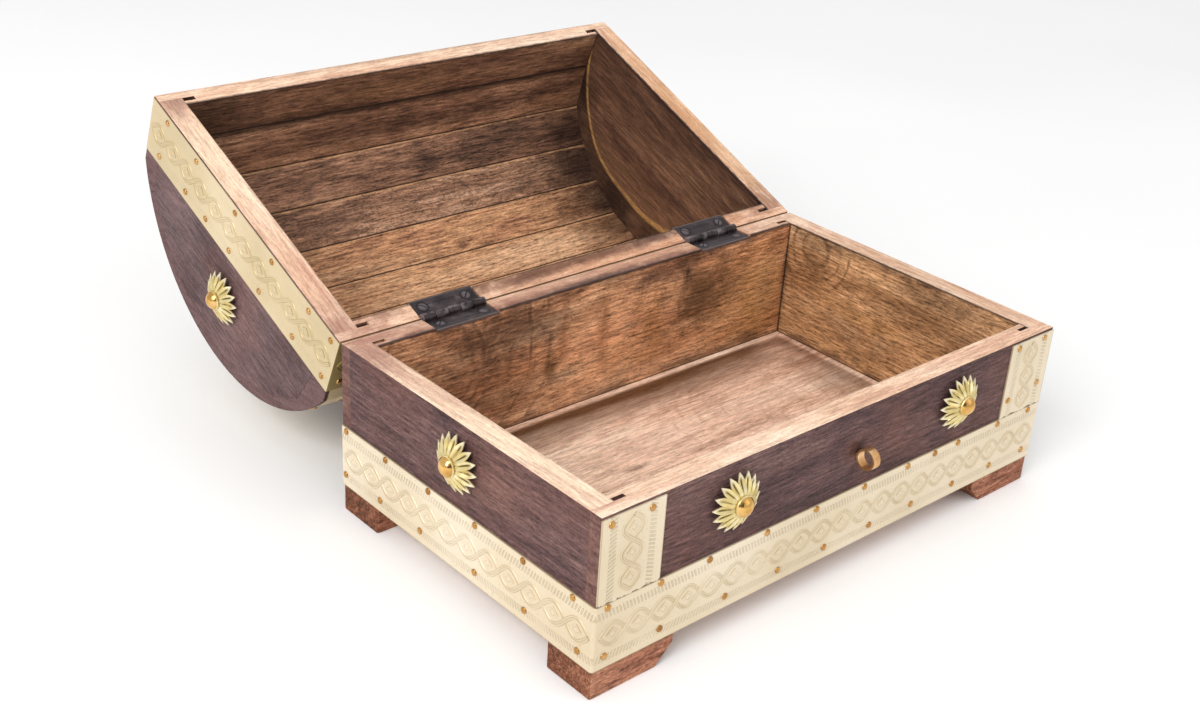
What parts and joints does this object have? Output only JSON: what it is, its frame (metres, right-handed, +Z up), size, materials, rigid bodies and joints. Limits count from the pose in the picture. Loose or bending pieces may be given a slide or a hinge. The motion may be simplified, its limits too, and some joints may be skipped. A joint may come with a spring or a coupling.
{
  "type": "storage chest",
  "caption": "Domed storage chest in mango wood with embossed brass bands, sunflower rosettes, butt hinges and a hasp over an eye staple; the lid swings open to the back",
  "frame": {"origin": "on the floor, in the middle of the four feet", "axes": "+X to the right along the front, +Y to the back, towards the open lid, +Z up"},
  "size_m": [0.3204, 0.3827, 0.158],
  "materials": {
    "mango_wood": "waxed, worn",
    "foot_wood": "stained, rough",
    "brass_sheet": "embossed, satin",
    "rosette_brass": "pressed, satin",
    "nail_brass": "polished",
    "black_iron": "black, satin"
  },
  "bodies": {
    "base": {"base_back_board": "mango_wood", "base_band": "brass_sheet", "base_floor_panel": "mango_wood", "base_front_board": "mango_wood", "base_left_board": "mango_wood", "base_right_board": "mango_wood", "base_rosette_nails": "nail_brass", "foot_back_left": "foot_wood", "foot_back_right": "foot_wood", "foot_front_left": "foot_wood", "foot_front_right": "foot_wood", "front_plate_left": "brass_sheet", "front_plate_right": "brass_sheet", "hinge_base_screws": "black_iron", "hinge_left_base_leaf": "black_iron", "hinge_left_pin": "black_iron", "hinge_right_base_leaf": "black_iron", "hinge_right_pin": "black_iron", "rosette_base_left": "rosette_brass", "rosette_base_right": "rosette_brass", "rosette_front_left": "rosette_brass", "rosette_front_right": "rosette_brass", "staple": "brass_sheet"},
    "lid": {"hasp_pin": "brass_sheet", "hasp_plate": "brass_sheet", "hinge_left_lid_leaf": "black_iron", "hinge_lid_screws": "black_iron", "hinge_right_lid_leaf": "black_iron", "lid_back_rail": "mango_wood", "lid_band": "brass_sheet", "lid_front_rail": "mango_wood", "lid_left_end": "mango_wood", "lid_right_end": "mango_wood", "lid_rosette_nails": "nail_brass", "lid_stave_1": "mango_wood", "lid_stave_2": "mango_wood", "lid_stave_3": "mango_wood", "lid_stave_4": "mango_wood", "lid_stave_5": "mango_wood", "lid_stave_6": "mango_wood", "lid_stave_7": "mango_wood", "lid_stave_8": "mango_wood", "lid_stave_9": "mango_wood", "lid_strap_left": "brass_sheet", "lid_strap_right": "brass_sheet", "rosette_lid_left": "rosette_brass", "rosette_lid_right": "rosette_brass"},
    "hasp": {"hasp_leaf": "brass_sheet"}
  },
  "joints": [
    {"name": "lid_hinge", "type": "hinge", "parent": "base", "child": "lid", "pos_m": [0, 0.0911, 0.0888], "axis": [1, 0, 0], "range_deg": [0, 157.5]},
    {"name": "hasp_swing", "type": "hinge", "parent": "lid", "child": "hasp", "pos_m": [0.006, 0.26362, 0.15128], "axis": [1, 0, 0], "range_deg": [0, 180]}
  ]
}
